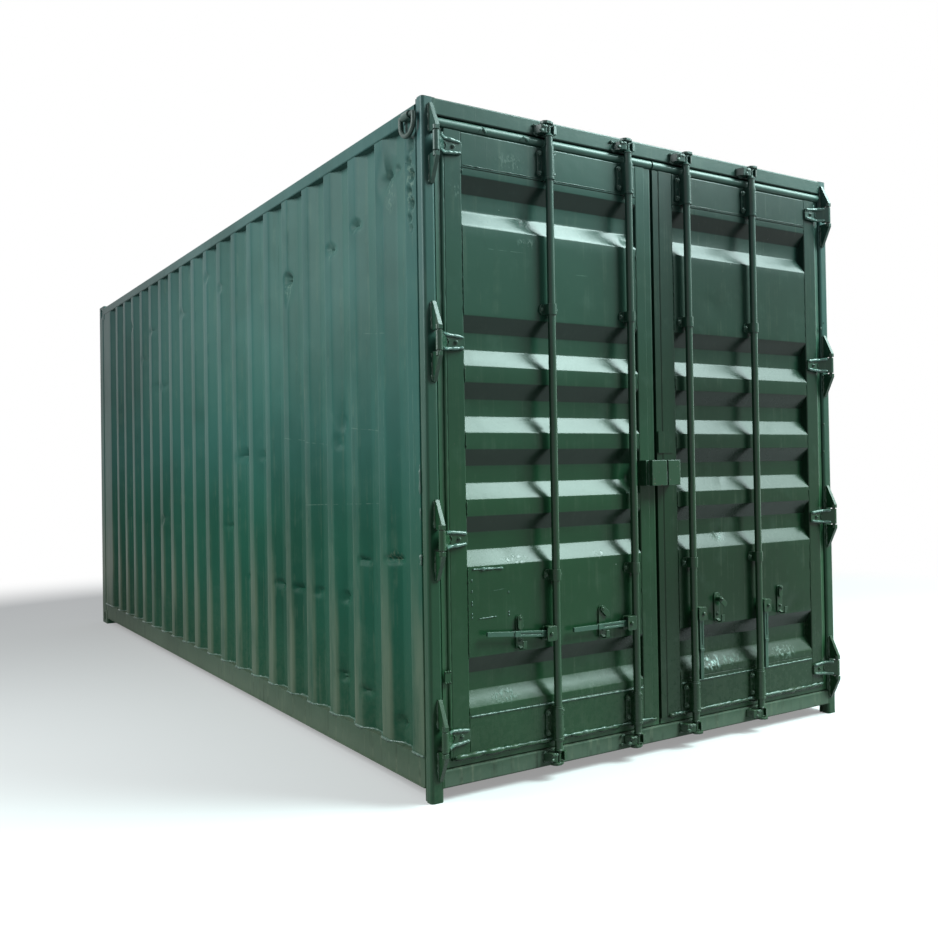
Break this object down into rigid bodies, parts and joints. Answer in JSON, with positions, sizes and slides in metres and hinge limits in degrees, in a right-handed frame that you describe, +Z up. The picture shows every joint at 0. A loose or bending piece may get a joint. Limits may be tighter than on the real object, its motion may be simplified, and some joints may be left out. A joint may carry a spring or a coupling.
{
  "type": "storage container",
  "caption": "green steel storage container, corrugated sides, pressed double doors with lock rods, handles and a lock box, castings at the closed end",
  "frame": {"origin": "on the ground below the middle of the bounding box, fittings of the door end included", "axes": "+Z up; the door end faces -Y; +X is to the right of someone who looks at the doors; the container's length runs along Y"},
  "size_m": [2.509, 6.131, 2.81],
  "materials": {
    "green_body_paint": "dark green gloss paint, weathered",
    "green_fitting_paint": "dark green gloss paint, thick and worn at the edges",
    "dusty_green_paint": "dark green paint under pale dust and streaks",
    "painted_seal": "rubber seal painted over with the doors",
    "plywood": "worn marine plywood",
    "underside_paint": "dark underside coating",
    "ring_paint": "thinly painted forged steel"
  },
  "bodies": {
    "container": {"corner_post_left": "green_body_paint", "corner_post_right": "green_body_paint", "door_header": "green_body_paint", "door_sill": "dusty_green_paint", "top_side_rails": "green_body_paint", "bottom_side_rails": "dusty_green_paint", "rear_posts": "green_body_paint", "rear_header": "green_body_paint", "rear_sill": "dusty_green_paint", "corner_castings": "green_body_paint", "side_wall_left": "green_body_paint", "side_wall_right": "green_body_paint", "end_wall": "green_body_paint", "roof_sheet": "green_body_paint", "cross_members": "underside_paint", "floor_boards": "plywood", "cam_keepers": "green_fitting_paint", "hinge_lugs_left": "green_fitting_paint", "hinge_lugs_right": "green_fitting_paint", "lifting_lugs": "green_fitting_paint"},
    "left_door": {"left_hinge_stile": "green_body_paint", "left_lock_stile": "green_body_paint", "left_door_rails": "green_body_paint", "left_door_panel": "green_body_paint", "left_hinge_blades": "green_fitting_paint", "left_door_brackets": "green_fitting_paint", "left_door_seal": "painted_seal", "left_lock_box": "green_fitting_paint"},
    "left_outer_rod_body": {"left_outer_rod": "green_fitting_paint"},
    "left_outer_handle_body": {"left_outer_handle": "green_fitting_paint"},
    "left_inner_rod_body": {"left_inner_rod": "green_fitting_paint"},
    "left_inner_handle_body": {"left_inner_handle": "green_fitting_paint"},
    "left_ring": {"lifting_ring_left": "ring_paint"},
    "right_door": {"right_hinge_stile": "green_body_paint", "right_lock_stile": "green_body_paint", "right_door_rails": "green_body_paint", "right_door_panel": "green_body_paint", "right_hinge_blades": "green_fitting_paint", "right_door_brackets": "green_fitting_paint", "right_door_seal": "painted_seal", "right_lock_box": "green_fitting_paint"},
    "right_outer_rod_body": {"right_outer_rod": "green_fitting_paint"},
    "right_outer_handle_body": {"right_outer_handle": "green_fitting_paint"},
    "right_inner_rod_body": {"right_inner_rod": "green_fitting_paint"},
    "right_inner_handle_body": {"right_inner_handle": "green_fitting_paint"},
    "right_ring": {"lifting_ring_right": "ring_paint"}
  },
  "joints": [
    {"name": "left_door_swing", "type": "hinge", "parent": "container", "child": "left_door", "pos_m": [-1.179, -3.0355, 1.435], "axis": [0, 0, -1], "range_deg": [0, 240]},
    {"name": "left_outer_rod_turn", "type": "hinge", "parent": "left_door", "child": "left_outer_rod_body", "pos_m": [-0.61901, -3.0225, 0.62], "axis": [0, 0, -1], "range_deg": [-90, 0]},
    {"name": "left_outer_handle_lift", "type": "hinge", "parent": "left_outer_rod_body", "child": "left_outer_handle_body", "pos_m": [-0.66101, -3.0225, 0.62], "axis": [0, 1, 0], "range_deg": [-5, 25]},
    {"name": "left_inner_rod_turn", "type": "hinge", "parent": "left_door", "child": "left_inner_rod_body", "pos_m": [-0.17873, -3.0225, 0.62], "axis": [0, 0, -1], "range_deg": [-90, 0]},
    {"name": "left_inner_handle_lift", "type": "hinge", "parent": "left_inner_rod_body", "child": "left_inner_handle_body", "pos_m": [-0.22073, -3.0225, 0.62], "axis": [0, 1, 0], "range_deg": [0, 30]},
    {"name": "left_ring_swing", "type": "hinge", "parent": "container", "child": "left_ring", "pos_m": [-1.238, -2.9045, 2.746], "axis": [0, 1, 0], "range_deg": [0, 175]},
    {"name": "right_door_swing", "type": "hinge", "parent": "container", "child": "right_door", "pos_m": [1.179, -3.0355, 1.435], "axis": [0, 0, 1], "range_deg": [0, 240]},
    {"name": "right_outer_rod_turn", "type": "hinge", "parent": "right_door", "child": "right_outer_rod_body", "pos_m": [0.61901, -3.0225, 0.62], "axis": [0, 0, 1], "range_deg": [-90, 0]},
    {"name": "right_outer_handle_lift", "type": "hinge", "parent": "right_outer_rod_body", "child": "right_outer_handle_body", "pos_m": [0.66101, -3.0225, 0.62], "axis": [0, -1, 0], "range_deg": [0, 57]},
    {"name": "right_inner_rod_turn", "type": "hinge", "parent": "right_door", "child": "right_inner_rod_body", "pos_m": [0.17873, -3.0225, 0.62], "axis": [0, 0, 1], "range_deg": [-90, 0]},
    {"name": "right_inner_handle_lift", "type": "hinge", "parent": "right_inner_rod_body", "child": "right_inner_handle_body", "pos_m": [0.22073, -3.0225, 0.62], "axis": [0, -1, 0], "range_deg": [0, 57]},
    {"name": "right_ring_swing", "type": "hinge", "parent": "container", "child": "right_ring", "pos_m": [1.238, -2.9045, 2.746], "axis": [0, -1, 0], "range_deg": [0, 175]}
  ]
}
